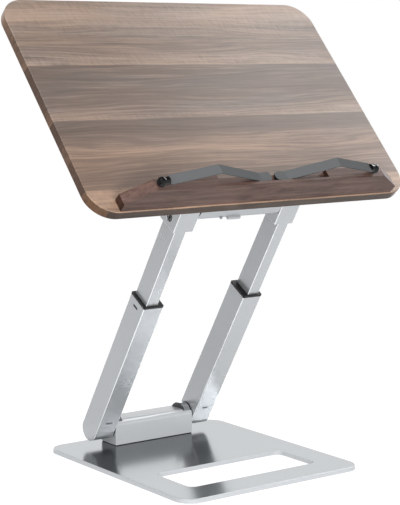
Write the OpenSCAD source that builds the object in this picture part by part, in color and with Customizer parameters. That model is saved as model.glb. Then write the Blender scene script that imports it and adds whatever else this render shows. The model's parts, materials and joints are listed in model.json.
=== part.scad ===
// Height adjustable folding book stand.
// A metal base carries two telescopic legs, and a wooden panel tilts on top of them.
// X runs to the reader's right, Y away from the reader, Z up.

/* [Base] */
// Width of the base plate
base_w = 210; // [180:1:260]
// Depth of the base plate, front to back
base_d = 240; // [210:1:280]
// Thickness of the base plate
base_t = 4.2; // [3.5:0.1:6]
// Corner radius of the base plate
base_r = 17; // [8:1:30]
// Bevel along the base plate's upper edge
base_bevel = 0.7; // [0.3:0.1:1.2]
// Width of the window in the base plate
window_w = 151; // [110:1:160]
// Depth of the window in the base plate
window_d = 59; // [40:1:70]
// Distance from the front edge of the base to the window
window_inset = 33; // [20:1:45]
// Corner radius of the window
window_r = 8; // [4:1:14]
// Diameter of the rubber pads under the base
pad_d = 18; // [12:1:24]
// Thickness of a rubber pad
pad_t = 1.5; // [1.2:0.1:2]
// How far a pad stands out below the plate
pad_proud = 0.5; // [0.3:0.1:0.8]
// Distance from a pad's centre to the nearest two edges
pad_inset = 17; // [13:1:30]

/* [Hinge blocks] */
// Depth of both hinge blocks
block_d = 26.4; // [25:0.2:34]
// Rounding along the free edges of a hinge block
block_r = 5.6; // [2:0.2:6]
// Rounding along the rear edge of the lower hinge block
block_rear_r = 1.4; // [0.6:0.2:2]
// Height of the lower hinge axis over the foot of its block
low_axis_h = 18.5; // [16:0.1:24]
// Height of the lower block over its hinge axis
low_block_over = 6.5; // [5.5:0.1:9]
// Height of the upper block beyond its hinge axis
top_block_over = 10; // [6:0.2:10.4]
// Distance from the lower hinge axis to the rear edge of the base
axis_setback = 25.9; // [20:0.1:60]
// Thickness of the soft seat under the lower block
seat_t = 0.6; // [0.4:0.1:1.2]
// Diameter of the hinge shafts
shaft_d = 8; // [6:0.5:10]
// Radius of the friction drums at the ends of a block
drum_r = 12; // [10:0.1:12.2]
// Length of a friction drum
drum_w = 8; // [4:0.5:9]
// Thickness of a friction washer
washer_t = 1; // [0.8:0.1:1.6]
// How far a shaft reaches into a leg
shaft_reach = 15; // [11:1:16]

/* [Legs] */
// Clear distance between the two legs
leg_gap = 96.4; // [80:0.2:110]
// Lean of the legs towards the reader
lean = 32; // [0:1:45]
// Width of an outer tube
tube_w = 22.6; // [20:0.2:28]
// Depth of an outer tube
tube_d = 25.4; // [25.4:0.2:27]
// Wall of an outer tube
tube_wall = 1.6; // [1.2:0.1:1.6]
// Corner radius of an outer tube
tube_r = 1; // [0.8:0.1:2.4]
// Length of an outer tube above the lower hinge axis
tube_len = 166; // [150:1:190]
// Height of the collar that shows above an outer tube
collar_h = 2.4; // [2:0.2:5]
// Length of the collar inside the tube
collar_plug = 12; // [8:1:16]
// Length of the foot core above the lower hinge axis
core_h = 24; // [20:1:30]
// Height of the snap window in the front of a tube above the lower hinge axis
foot_slit_s = 16.5; // [14:0.5:20]
// Distance of the snap slot in the side of a tube below its top
collar_slot_drop = 6.7; // [5:0.1:9]
// Length of both snap openings
slit_l = 7.2; // [5:0.2:9]
// Width of both snap openings
slit_w = 2; // [1.2:0.1:2.2]

/* [Telescopes] */
// Distance between the two hinge axes in the pose shown
axis_span = 280.2; // [265:0.2:290]
// Width of an inner tube
inner_w = 13.2; // [11:0.2:13.4]
// Depth of an inner tube
inner_d = 21.4; // [17:0.2:21.4]
// Wall of an inner tube
inner_wall = 1.5; // [1:0.1:2]
// Corner radius of an inner tube
inner_r = 0.8; // [0.6:0.1:1.8]
// Length of an inner tube
inner_len = 160; // [140:1:165]
// Metal left between the upper hinge shaft and the end of an inner tube
shaft_web = 4.5; // [3:0.5:6]
// Offset of an inner tube towards the outside of its leg
inner_shift = 1.5; // [1:0.1:2]
// Height of the guide shoe at the foot of an inner tube
shoe_h = 18; // [14:1:22]
// Thickness of the floor of a guide shoe
shoe_floor = 2; // [1.5:0.1:3]
// Diameter of the brake button in a guide shoe
brake_d = 8; // [6:0.5:10]
// Length of an upper bracket below the upper hinge axis
bracket_drop = 22.6; // [21:0.2:26]
// Height of the bracket's bolt over the bracket's lower end
bolt_rise = 9.2; // [6.5:0.1:9.6]
// Diameter of the bracket bolt's head
bolt_head_d = 8.6; // [7:0.2:9]
// Height of the bracket bolt's head
bolt_head_h = 1.6; // [1.2:0.1:1.8]
// Diameter of the bracket bolt's shank
bolt_d = 4.8; // [4:0.2:5]

/* [Panel] */
// Width of the reading panel
panel_w = 365; // [300:1:400]
// Height of the reading panel along its slope
panel_h = 249; // [220:0.5:280]
// Thickness of the reading panel
panel_t = 9.6; // [7:0.2:12]
// Corner radius of the reading panel
panel_r = 26; // [12:1:36]
// Bevel around the panel's front face
panel_bevel = 0.8; // [0.4:0.1:1.5]
// Slope of the panel above the horizontal
tilt = 47.9; // [30:0.1:70]
// Distance from the upper hinge axis down the slope to the panel's lower edge
panel_drop = 27.6; // [26:0.2:36]
// Distance from the upper hinge axis to the panel's rear face
panel_stand = 24.5; // [23:0.1:30]
// Width of the mounting plate behind the panel
mount_w = 132; // [115:1:180]
// Height of the mounting plate along the slope
mount_h = 62; // [50:1:80]
// Thickness of the mounting plate
mount_t = 4; // [3:0.2:6]
// Corner radius of the mounting plate
mount_r = 8; // [4:1:14]
// Distance of the mounting plate's lower edge below the upper hinge axis
mount_drop = 19; // [16:0.5:22]

/* [Ledge] */
// Length of the ledge
ledge_w = 315; // [260:1:340]
// Thickness of the ledge along the slope
ledge_t = 12.4; // [11:0.2:16]
// Height of the ledge over the panel
ledge_h = 27; // [22:0.5:40]
// Height of the ledge at its two ends
ledge_end_h = 8.6; // [5:0.2:14]
// Length of the sloping run at each end of the ledge
ledge_run = 26.5; // [15:0.5:40]
// Distance from the panel's lower edge to the ledge
ledge_inset = 1.2; // [0.6:0.1:3]
// Length of the clip pocket in the ledge's top
pocket_w = 126; // [100:1:150]
// Depth of the clip pocket
pocket_depth = 4.6; // [4:0.1:7]
// Thickness of the lip left in front of the clip pocket
lip_t = 3; // [2:0.1:3.1]

/* [Page clips] */
// Width of a clip strip
strip_w = 10; // [8:0.2:10.2]
// Thickness of a clip strip
strip_t = 1; // [0.8:0.1:1.4]
// Distance between the pivots of the two clips
pivot_gap = 14.6; // [14:0.1:20]
// Distance from the panel's lower edge to the clip pivots
pivot_v = 10; // [9.9:0.1:10.4]
// Length of a clip's flat tab beyond its pivot
tab_len = 8; // [6:0.5:10]
// Distance from the left clip's pivot to its crest
left_crest_x = 63.6; // [50:0.2:75]
// Distance from the right clip's pivot to its crest
right_crest_x = 58.8; // [45:0.2:70]
// Height of a clip's crest over the ledge's top
crest_h = 16.6; // [12:0.2:25]
// Distance from the left clip's pivot to the centre of its ball
left_ball_x = 120.5; // [100:0.5:123]
// Distance from the right clip's pivot to the centre of its ball
right_ball_x = 110.3; // [95:0.1:123]
// Radius of a clip's ball
ball_r = 4.7; // [4:0.1:6]
// Gap between a resting ball and the ledge's top
ball_gap = 0.4; // [0.3:0.1:1]
// Diameter of the neck between a ball and its strip
neck_d = 7.4; // [6.8:0.2:8]
// Length of the neck outside the ball
neck_l = 2.2; // [1.5:0.1:4]
// Angle by which a resting clip leans towards the reader
clip_lean = 1.7; // [0:0.1:2]
// Corner radius of the left clip's square tab
tab_r = 3.6; // [3.4:0.1:4.4]
// Thickness of the bush flange under a clip
flange_t = 2.2; // [1.6:0.1:2.6]
// Diameter of the bush flange under a clip
flange_d = 8.8; // [7:0.2:9]
// Diameter of the clip studs
stud_d = 3.2; // [2.6:0.1:3.4]
// Diameter of the bushes in the ledge
bush_d = 5.2; // [4.8:0.1:5.6]
// Length of a bush inside the ledge
bush_l = 12; // [8:0.5:15]
// How much shorter a stud is than its bush
stud_short = 1; // [0.6:0.1:2]

/* [Fasteners] */
// Diameter of the machine screws
screw_d = 5; // [4:0.5:6]
// Diameter of a machine screw's countersunk head
screw_head_d = 9; // [8:0.2:11]
// Length of the machine screws below their heads
screw_l = 12; // [9:0.5:13]
// Spacing of the block screws along the block
screw_pitch = 56; // [40:1:60]
// Spacing of the block screws across the block
screw_cross = 12; // [9:0.5:13]
// Diameter of the wood screws
wood_d = 3.2; // [2.5:0.1:3.6]
// Diameter of a wood screw's head
wood_head_d = 6.4; // [5.5:0.1:7]
// Height of a wood screw's head
wood_head_h = 1.8; // [1.4:0.1:2]
// Share of the panel's thickness that a mounting screw enters
wood_bite = 0.7; // [0.5:0.05:0.8]
// Length of the ledge's screws in the ledge
ledge_screw_l = 14; // [10:0.5:16]
// Spacing of the ledge's screws
ledge_screw_pitch = 84; // [60:1:95]
// Length of the tilt stop lug along the block
lug_w = 15; // [10:0.5:20]
// How far the tilt stop lug stands out of the block
lug_out = 2.6; // [2:0.1:4.5]
// Depth of the slot that holds the lug
lug_seat = 2.4; // [2:0.1:4]
// Thickness of the tilt stop lug
lug_t = 3; // [2:0.1:3.4]
// Distance of the lug beyond the upper hinge axis
lug_drop = 6; // [5:0.1:6.5]
// Distance of the lug's centre from the middle of the block
lug_x = 6.2; // [0:0.1:12]
// Distance of the lug's screw from the middle of the block
lug_screw_x = 20.6; // [18:0.1:26]

/* [Clearances] */
// Radial clearance of a shaft that turns in its bore
run_clear = 0.05; // [0.02:0.01:0.09]
// Gap between pieces that are fixed to each other
seat_clear = 0.1; // [0.05:0.05:0.2]
// Gap between faces that slide over each other
slide_clear = 0.2; // [0.15:0.05:0.3]
// Gap between the end of a hinge block and the leg beside it
end_gap = 0.8; // [0.6:0.1:1.6]

/* [Hidden] */
$fn = 64;
over = 1;
least_r = 0.3;

axis_y = base_d / 2 - axis_setback;
deck_z = pad_proud + base_t;
axis_z = deck_z + seat_t + low_axis_h;
shaft_r = shaft_d / 2;
leg_in = leg_gap / 2;
leg_mid = leg_in + tube_w / 2;
leg_out = leg_in + tube_w;
foot_r = tube_d / 2;
bore_w = tube_w - 2 * tube_wall;
bore_d = tube_d - 2 * tube_wall;
bore_r = max(tube_r - tube_wall, least_r + 2 * seat_clear);
inner_x = leg_mid + inner_shift;
inner_top = axis_span - shaft_r - shaft_web;
inner_foot = inner_top - inner_len;
bracket_foot = axis_span - bracket_drop;
bolt_s = bracket_foot + bolt_rise;
bolt_seat = bolt_head_h + 2 * slide_clear;
block_w = leg_gap - 2 * end_gap;
notch_r = drum_r + 2 * slide_clear;
washer_out = leg_in - seat_clear;
drum_out = washer_out - washer_t;
drum_in = drum_out - drum_w;
notch_in = drum_in - washer_t - seat_clear;
shaft_end = leg_in + shaft_reach;
block_rise = panel_stand - mount_t;
panel_front = panel_stand + panel_t;
panel_foot = -panel_drop;
ledge_foot = panel_foot + ledge_inset;
ledge_back = ledge_foot + ledge_t;
ledge_top = panel_front + ledge_h;
pocket_floor = ledge_top - pocket_depth;
pivot_x = pivot_gap / 2;
pivot_y = panel_foot + pivot_v;
tab_foot = pocket_floor + flange_t + slide_clear;
strip_mid = tab_foot + strip_t / 2;
crest_z = ledge_top + crest_h;
ball_z = ledge_top + ball_gap + ball_r;
tongue_w = strip_w / 2;
tongue_stop = ball_r / 3;
strip_stop = ball_r + neck_l;
stud_l = flange_t + slide_clear + bush_l - stud_short;
mount_y = mount_h / 2 - mount_drop;
screw_head_h = (screw_head_d - screw_d) / 2;

metal = [0.80, 0.81, 0.82];
steel = [0.62, 0.63, 0.65];
black = [0.08, 0.08, 0.09];
clip_grey = [0.38, 0.40, 0.42];
wood = [0.58, 0.50, 0.44];
ledge_wood = [0.46, 0.38, 0.36];

// Frames: along a leg from the lower hinge axis, and along the panel from the upper hinge axis
module leg_frame() {
    translate([0, axis_y, axis_z]) rotate([lean, 0, 0]) children();
}

module tilt_frame() {
    leg_frame() translate([0, 0, axis_span]) rotate([tilt - lean, 0, 0]) children();
}

// The clips' pivot on one side of the panel, with X along the resting clip
module clip_frame(side) {
    tilt_frame() translate([side * pivot_x, pivot_y, 0])
        mirror([side < 0 ? 1 : 0, 0, 0]) rotate([0, 0, -clip_lean]) children();
}

module left_hand() {
    mirror([1, 0, 0]) children();
}

// Shapes that several pieces share
module round_rect(w, d, r) {
    square([w - 2 * r, d], center = true);
    square([w, d - 2 * r], center = true);
    for (x = [-1, 1], y = [-1, 1]) translate([x * (w / 2 - r), y * (d / 2 - r)]) circle(r);
}

module edge_profile(w, t, c) {
    polygon([[-w / 2, 0], [w / 2, 0], [w / 2, t - c], [w / 2 - c, t], [c - w / 2, t], [-w / 2, t - c]]);
}

module bevelled_plate(w, d, t, r, c) {
    rotate([90, 0, 90]) linear_extrude(w - 2 * r, center = true) edge_profile(d, t, c);
    rotate([90, 0, 0]) linear_extrude(d - 2 * r, center = true) edge_profile(w, t, c);
    for (x = [-1, 1], y = [-1, 1]) translate([x * (w / 2 - r), y * (d / 2 - r), 0]) {
        cylinder(r = r, h = t - c);
        translate([0, 0, t - c]) cylinder(r1 = r, r2 = r - c, h = c);
    }
}

module rod_x(r, from, to) {
    translate([from, 0, 0]) rotate([0, 90, 0]) cylinder(r = r, h = to - from);
}

module ring_x(r, bore, from, to) {
    difference() {
        rod_x(r, from, to);
        rod_x(bore, from - over, to + over);
    }
}

module countersunk(head_d, d, l) {
    head_h = (head_d - d) / 2;
    cylinder(r1 = head_d / 2, r2 = d / 2, h = head_h);
    cylinder(r = d / 2, h = head_h + l);
}

module screw_spots() {
    for (x = [-1, 1], y = [-1, 1]) translate([x * screw_pitch / 2, y * screw_cross / 2, 0]) children();
}

// A hinge block about its axis: foot towards -Z, rounded edges towards +Z, rear edge towards +Y
module block_profile(foot, top, rear_r) {
    translate([-block_d / 2, -foot]) square([block_d, foot + top - block_r]);
    translate([block_r - block_d / 2, -foot]) square([block_d - block_r - rear_r, foot + top]);
    translate([0, -foot]) square([block_d / 2, foot + top - rear_r]);
    translate([block_r - block_d / 2, top - block_r]) circle(block_r);
    translate([block_d / 2 - rear_r, top - rear_r]) circle(rear_r);
}

module hinge_block(foot, top, rear_r) {
    difference() {
        rotate([90, 0, 90]) linear_extrude(block_w, center = true) block_profile(foot, top, rear_r);
        rod_x(shaft_r + run_clear, -block_w, block_w);
        for (side = [-1, 1]) scale([side, 1, 1]) rod_x(notch_r, notch_in, block_w);
        translate([0, 0, -foot - over]) screw_spots()
            cylinder(r = screw_d / 2 + run_clear, h = screw_l + over + seat_clear);
    }
}

module hinge_shaft() {
    rod_x(shaft_r, -shaft_end, shaft_end);
}

module hinge_drum() {
    ring_x(drum_r, shaft_r + run_clear, drum_in, drum_out);
}

module hinge_washers() {
    for (side = [-1, 1]) mirror([side < 0 ? 1 : 0, 0, 0]) {
        ring_x(drum_r, shaft_r + run_clear, drum_in - washer_t, drum_in);
        ring_x(drum_r, shaft_r + run_clear, drum_out, washer_out);
    }
}

// A tube section with one round end about a hinge axis; the end points to -Z
module round_ended(w, d, r, l, end_r) {
    intersection() {
        translate([leg_mid, 0, -end_r]) linear_extrude(end_r + l) round_rect(w, d, r);
        union() {
            rod_x(end_r, leg_in - over, leg_out + over);
            translate([leg_in - over, -tube_d, 0]) cube([tube_w + 2 * over, 2 * tube_d, l]);
        }
    }
}

module inner_section(grow) {
    translate([inner_x, 0]) round_rect(inner_w + 2 * grow, inner_d + 2 * grow, inner_r + grow);
}

module bore_section(shrink) {
    translate([leg_mid, 0])
        round_rect(bore_w - 2 * shrink, bore_d - 2 * shrink, max(bore_r - shrink, least_r));
}

// Base
module base_plate() {
    color(metal) difference() {
        translate([0, 0, pad_proud]) bevelled_plate(base_w, base_d, base_t, base_r, base_bevel);
        translate([0, (window_d - base_d) / 2 + window_inset, 0])
            linear_extrude(deck_z + over) round_rect(window_w, window_d, window_r);
        pad_spots() cylinder(d = pad_d + 2 * seat_clear, h = pad_t + seat_clear);
        translate([0, axis_y, pad_proud]) screw_spots()
            countersunk(screw_head_d + 2 * seat_clear, screw_d + 2 * seat_clear, base_t);
    }
}

module pad_spots() {
    for (x = [-1, 1], y = [-1, 1])
        translate([x * (base_w / 2 - pad_inset), y * (base_d / 2 - pad_inset), 0]) children();
}

module base_pads() {
    color(black) pad_spots() cylinder(d = pad_d, h = pad_t);
}

module base_block() {
    color(metal) translate([0, axis_y, axis_z]) hinge_block(low_axis_h, low_block_over, block_rear_r);
}

module block_seat() {
    color(black) difference() {
        translate([-block_w / 2 + seat_t, axis_y - block_d / 2 + seat_t, deck_z])
            cube([block_w - 2 * seat_t, block_d - 2 * seat_t, seat_t]);
        translate([0, axis_y, deck_z - over]) screw_spots()
            cylinder(d = screw_d + 2 * seat_clear, h = seat_t + 2 * over);
    }
}

module base_screws() {
    reach = base_t + seat_t - screw_head_h + screw_l;
    color(steel) translate([0, axis_y, pad_proud]) screw_spots() countersunk(screw_head_d, screw_d, reach);
}

module lower_shaft() {
    color(steel) translate([0, axis_y, axis_z]) hinge_shaft();
}

module lower_drum_right() {
    color(metal) translate([0, axis_y, axis_z]) hinge_drum();
}

module lower_drum_left() {
    left_hand() lower_drum_right();
}

module lower_washers() {
    color(black) translate([0, axis_y, axis_z]) hinge_washers();
}

// Legs
module outer_tube_right() {
    color(metal) leg_frame() difference() {
        round_ended(tube_w, tube_d, tube_r, tube_len, foot_r);
        round_ended(bore_w, bore_d, bore_r, tube_len + over, foot_r - tube_wall);
        rod_x(shaft_r + slide_clear, leg_in - over, leg_mid);
        translate([leg_mid, -tube_d / 2, foot_slit_s]) cube([slit_l, tube_d / 2, slit_w], center = true);
        translate([leg_out, 0, tube_len - collar_slot_drop])
            cube([tube_w / 2, slit_l, slit_w], center = true);
    }
}

module outer_tube_left() {
    left_hand() outer_tube_right();
}

module foot_core_right() {
    nib = slit_w - 2 * seat_clear;
    color(black) leg_frame() difference() {
        union() {
            round_ended(
                bore_w - 2 * seat_clear, bore_d - 2 * seat_clear, max(bore_r - seat_clear, least_r),
                core_h, foot_r - tube_wall - seat_clear
            );
            translate([leg_mid, tube_wall / 2 - tube_d / 2 + seat_clear, foot_slit_s])
                cube([slit_l - 2 * seat_clear, tube_wall + 2 * seat_clear, nib], center = true);
        }
        rod_x(shaft_r + run_clear, leg_in, shaft_end + seat_clear);
    }
}

module foot_core_left() {
    left_hand() foot_core_right();
}

module collar_right() {
    nib = slit_w - 2 * seat_clear;
    color(black) leg_frame() difference() {
        union() {
            translate([leg_mid, 0, tube_len]) linear_extrude(collar_h) round_rect(tube_w, tube_d, tube_r);
            translate([0, 0, tube_len - collar_plug]) linear_extrude(collar_plug) bore_section(seat_clear);
            translate([leg_out - tube_wall / 2 - seat_clear, 0, tube_len - collar_slot_drop])
                cube([tube_wall + 2 * seat_clear, slit_l - 2 * seat_clear, nib], center = true);
        }
        translate([0, 0, tube_len - collar_plug - over])
            linear_extrude(collar_h + collar_plug + 2 * over) inner_section(slide_clear);
    }
}

module collar_left() {
    left_hand() collar_right();
}

// Telescopes
module inner_tube_right() {
    color(metal) leg_frame() difference() {
        translate([0, 0, inner_foot]) linear_extrude(inner_len) inner_section(0);
        translate([inner_x, 0, inner_foot - over]) linear_extrude(inner_len + 2 * over)
            round_rect(inner_w - 2 * inner_wall, inner_d - 2 * inner_wall, inner_r / 2);
        translate([0, 0, bolt_s]) rod_x(bolt_d / 2 + seat_clear, inner_x, leg_out);
    }
}

module inner_tube_left() {
    left_hand() inner_tube_right();
}

module guide_shoe_right() {
    color(black) leg_frame() translate([0, 0, inner_foot - shoe_floor]) difference() {
        linear_extrude(shoe_h) bore_section(slide_clear);
        translate([0, 0, shoe_floor]) linear_extrude(shoe_h) inner_section(seat_clear);
        translate([0, 0, shoe_h / 2]) rod_x(brake_d / 2 + seat_clear, leg_in, inner_x);
    }
}

module guide_shoe_left() {
    left_hand() guide_shoe_right();
}

module brake_button_right() {
    color(steel) leg_frame() translate([0, 0, inner_foot - shoe_floor + shoe_h / 2])
        rod_x(brake_d / 2, leg_in + tube_wall + slide_clear, inner_x - inner_w / 2 - seat_clear);
}

module brake_button_left() {
    left_hand() brake_button_right();
}

module upper_bracket_right() {
    color(metal) leg_frame() difference() {
        translate([0, 0, axis_span]) rotate([180, 0, 0])
            round_ended(tube_w, tube_d, tube_r, bracket_drop, foot_r);
        translate([0, 0, bracket_foot - over])
            linear_extrude(inner_top - bracket_foot + over + seat_clear) inner_section(seat_clear);
        translate([0, 0, axis_span]) rod_x(shaft_r + run_clear, leg_in - over, shaft_end + slide_clear);
        translate([0, 0, bolt_s]) {
            rod_x(bolt_d / 2 + seat_clear, inner_x, leg_out);
            rod_x(bolt_head_d / 2 + slide_clear, leg_out - bolt_seat, leg_out + over);
        }
    }
}

module upper_bracket_left() {
    left_hand() upper_bracket_right();
}

module bracket_bolts() {
    color(black) for (side = [-1, 1]) mirror([side < 0 ? 1 : 0, 0, 0])
        leg_frame() translate([0, 0, bolt_s]) difference() {
            union() {
                rod_x(bolt_head_d / 2, leg_out - bolt_seat, leg_out - bolt_seat + bolt_head_h);
                rod_x(bolt_d / 2, inner_x, leg_out - bolt_seat);
            }
            translate([leg_out - bolt_seat + bolt_head_h / 2, 0, 0]) rotate([0, 90, 0])
                cylinder(d = bolt_d, h = bolt_head_h, $fn = 6);
        }
}

// Panel
module reading_panel() {
    color(wood) tilt_frame() difference() {
        translate([0, panel_foot + panel_h / 2, panel_stand])
            bevelled_plate(panel_w, panel_h, panel_t, panel_r, panel_bevel);
        mount_spots() translate([0, 0, panel_stand - over])
            cylinder(d = wood_d + 2 * seat_clear, h = panel_t * wood_bite + 2 * slide_clear + over);
        ledge_spots() translate([0, 0, panel_stand - over]) {
            cylinder(d = wood_d + 2 * seat_clear, h = panel_t + 2 * over);
            cylinder(d = wood_head_d + 2 * seat_clear, h = wood_head_h + over);
        }
    }
}

module ledge_outline() {
    polygon([
        [-ledge_w / 2, 0], [ledge_w / 2, 0], [ledge_w / 2, ledge_end_h], [ledge_w / 2 - ledge_run, ledge_h],
        [ledge_run - ledge_w / 2, ledge_h], [-ledge_w / 2, ledge_end_h]
    ]);
}

module ledge_spots() {
    for (x = [-1.5, -0.5, 0.5, 1.5])
        translate([x * ledge_screw_pitch, (ledge_foot + ledge_back) / 2, 0]) children();
}

module ledge() {
    color(ledge_wood) tilt_frame() difference() {
        translate([0, ledge_back, panel_front]) rotate([90, 0, 0]) linear_extrude(ledge_t) ledge_outline();
        translate([-pocket_w / 2, ledge_foot + lip_t, pocket_floor]) cube([pocket_w, ledge_t, ledge_h]);
        for (side = [-1, 1]) translate([side * pivot_x, pivot_y, pocket_floor - bush_l - seat_clear])
            cylinder(d = bush_d + 2 * run_clear, h = ledge_h);
        ledge_spots() translate([0, 0, panel_front - over])
            cylinder(d = wood_d + 2 * run_clear, h = ledge_screw_l + over + seat_clear);
    }
}

module ledge_screws() {
    color(steel) tilt_frame() ledge_spots() translate([0, 0, panel_stand]) {
        cylinder(d = wood_head_d, h = wood_head_h);
        cylinder(d = wood_d, h = panel_t + ledge_screw_l);
    }
}

module mount_spots() {
    reach = mount_w / 2 - mount_r;
    for (x = [-1, 0, 1]) translate([x * reach, mount_h - mount_r - mount_drop, 0]) children();
    for (x = [-1, 1]) translate([x * reach, mount_r - mount_drop, 0]) children();
}

module mount_plate() {
    color(metal) tilt_frame() difference() {
        translate([0, mount_y, panel_stand - mount_t])
            linear_extrude(mount_t) round_rect(mount_w, mount_h, mount_r);
        mount_spots() translate([0, 0, panel_stand - mount_t - over])
            cylinder(d = wood_d + 2 * seat_clear, h = mount_t + 2 * over);
        translate([0, 0, panel_stand]) rotate([180, 0, 0]) screw_spots()
            countersunk(screw_head_d + 2 * seat_clear, screw_d + 2 * seat_clear, mount_t);
    }
}

module mount_screws() {
    color(steel) tilt_frame() mount_spots() translate([0, 0, panel_stand - mount_t - wood_head_h]) {
        cylinder(d = wood_head_d, h = wood_head_h);
        cylinder(d = wood_d, h = wood_head_h + mount_t + panel_t * wood_bite);
    }
}

module tilt_block() {
    color(metal) tilt_frame() difference() {
        rotate([180, 0, 0]) hinge_block(block_rise, top_block_over, block_r);
        stop_lug(seat_clear);
        stop_pin(seat_clear);
    }
}

module tilt_screws() {
    reach = mount_t - screw_head_h + screw_l;
    color(steel) tilt_frame() translate([0, 0, panel_stand]) rotate([180, 0, 0])
        screw_spots() countersunk(screw_head_d, screw_d, reach);
}

module upper_shaft() {
    color(steel) tilt_frame() hinge_shaft();
}

module upper_drum_right() {
    color(metal) tilt_frame() hinge_drum();
}

module upper_drum_left() {
    left_hand() upper_drum_right();
}

module upper_washers() {
    color(black) tilt_frame() hinge_washers();
}

module stop_lug(grow) {
    translate([-lug_x - lug_w / 2 - grow, -block_d / 2 - lug_out, -lug_drop - lug_t / 2 - grow])
        cube([lug_w + 2 * grow, lug_out + lug_seat, lug_t + 2 * grow]);
}

module stop_pin(grow) {
    translate([-lug_screw_x, lug_seat - block_d / 2, -lug_drop]) rotate([90, 0, 0])
        cylinder(d = lug_t + 2 * grow, h = lug_seat + lug_out / 2);
}

module tilt_stop() {
    color(metal) tilt_frame() stop_lug(0);
}

module tilt_stop_screw() {
    color(black) tilt_frame() stop_pin(0);
}

// Page clips
module clip_bush(side) {
    color(black) tilt_frame() translate([side * pivot_x, pivot_y, pocket_floor]) difference() {
        union() {
            cylinder(d = flange_d, h = flange_t);
            translate([0, 0, -bush_l]) cylinder(d = bush_d, h = bush_l);
        }
        translate([0, 0, flange_t + slide_clear - stud_l - seat_clear])
            cylinder(d = stud_d + 2 * run_clear, h = stud_l + over);
    }
}

module clip_bush_left() {
    clip_bush(-1);
}

module clip_bush_right() {
    clip_bush(1);
}

// The bent line of a clip, and a point on its outer arm at some distance before the ball's centre
function crest_x(side) = side < 0 ? left_crest_x : right_crest_x;

function ball_x(side) = side < 0 ? left_ball_x : right_ball_x;

function ball_slope(side) = atan2(ball_z - crest_z, ball_x(side) - crest_x(side));

function clip_end(side, back) = [
    ball_x(side) - back * cos(ball_slope(side)), ball_z - back * sin(ball_slope(side))
];

function clip_line(side) = [
    [0, strip_mid], [tab_len, strip_mid], [crest_x(side), crest_z], clip_end(side, strip_stop)
];

module bar(from, to, t) {
    span = to - from;
    translate(from) rotate(atan2(span.y, span.x)) translate([0, -t / 2]) square([norm(span), t]);
}

module bent_line(points, t) {
    for (i = [1 : len(points) - 1]) bar(points[i - 1], points[i], t);
    for (i = [1 : len(points) - 2]) translate(points[i]) circle(t / 2);
}

module upright(w) {
    translate([0, w / 2, 0]) rotate([90, 0, 0]) linear_extrude(w) children();
}

module clip_strip(side) {
    color(clip_grey) clip_frame(side) {
        upright(strip_w) bent_line(clip_line(side), strip_t);
        upright(tongue_w) bar(clip_end(side, strip_stop + over), clip_end(side, tongue_stop), strip_t);
        translate([0, 0, tab_foot]) {
            linear_extrude(strip_t) children();
            translate([0, 0, -stud_l]) cylinder(d = stud_d, h = stud_l);
        }
    }
}

module clip_strip_left() {
    clip_strip(-1) round_rect(strip_w, strip_w, tab_r);
}

module clip_strip_right() {
    clip_strip(1) circle(strip_w / 2);
}

module clip_ball(side) {
    color(black) clip_frame(side) difference() {
        translate([ball_x(side), 0, ball_z]) {
            sphere(ball_r);
            rotate([0, -ball_slope(side) - 90, 0]) cylinder(d = neck_d, h = strip_stop - seat_clear);
        }
        upright(tongue_w + 2 * seat_clear)
            bar(clip_end(side, strip_stop + over), clip_end(side, tongue_stop), strip_t + 2 * seat_clear);
    }
}

module clip_ball_left() {
    clip_ball(-1);
}

module clip_ball_right() {
    clip_ball(1);
}

base_plate();
base_pads();
base_block();
block_seat();
base_screws();
lower_shaft();
lower_drum_left();
lower_drum_right();
lower_washers();
outer_tube_left();
outer_tube_right();
foot_core_left();
foot_core_right();
collar_left();
collar_right();
inner_tube_left();
inner_tube_right();
guide_shoe_left();
guide_shoe_right();
brake_button_left();
brake_button_right();
upper_bracket_left();
upper_bracket_right();
bracket_bolts();
reading_panel();
ledge();
ledge_screws();
mount_plate();
mount_screws();
tilt_block();
tilt_screws();
upper_shaft();
upper_drum_left();
upper_drum_right();
upper_washers();
tilt_stop();
tilt_stop_screw();
clip_bush_left();
clip_bush_right();
clip_strip_left();
clip_ball_left();
clip_strip_right();
clip_ball_right();
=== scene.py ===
"""Looks of a folding book stand: eased edges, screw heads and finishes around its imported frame."""

import json
import logging
import math
from dataclasses import dataclass
from enum import Enum
from typing import Any, Callable, ClassVar

import bmesh
import bpy
from mathutils import Matrix, Vector


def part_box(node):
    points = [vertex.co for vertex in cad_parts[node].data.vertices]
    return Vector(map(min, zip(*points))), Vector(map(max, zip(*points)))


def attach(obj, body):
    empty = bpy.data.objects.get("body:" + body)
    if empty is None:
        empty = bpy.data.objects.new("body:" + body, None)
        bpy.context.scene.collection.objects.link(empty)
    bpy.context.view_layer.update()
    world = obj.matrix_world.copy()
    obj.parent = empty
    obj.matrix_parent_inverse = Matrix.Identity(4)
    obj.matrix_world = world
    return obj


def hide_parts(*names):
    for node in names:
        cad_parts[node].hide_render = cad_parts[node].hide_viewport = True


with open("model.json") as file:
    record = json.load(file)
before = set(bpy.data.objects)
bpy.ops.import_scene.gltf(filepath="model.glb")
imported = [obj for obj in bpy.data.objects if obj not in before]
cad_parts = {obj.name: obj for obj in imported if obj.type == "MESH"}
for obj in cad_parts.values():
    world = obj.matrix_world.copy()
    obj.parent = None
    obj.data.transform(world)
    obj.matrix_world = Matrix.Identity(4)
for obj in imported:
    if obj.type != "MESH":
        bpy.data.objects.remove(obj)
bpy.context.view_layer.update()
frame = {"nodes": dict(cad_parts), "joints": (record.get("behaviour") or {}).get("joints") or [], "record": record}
LOG = logging.getLogger("book_stand")

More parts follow.
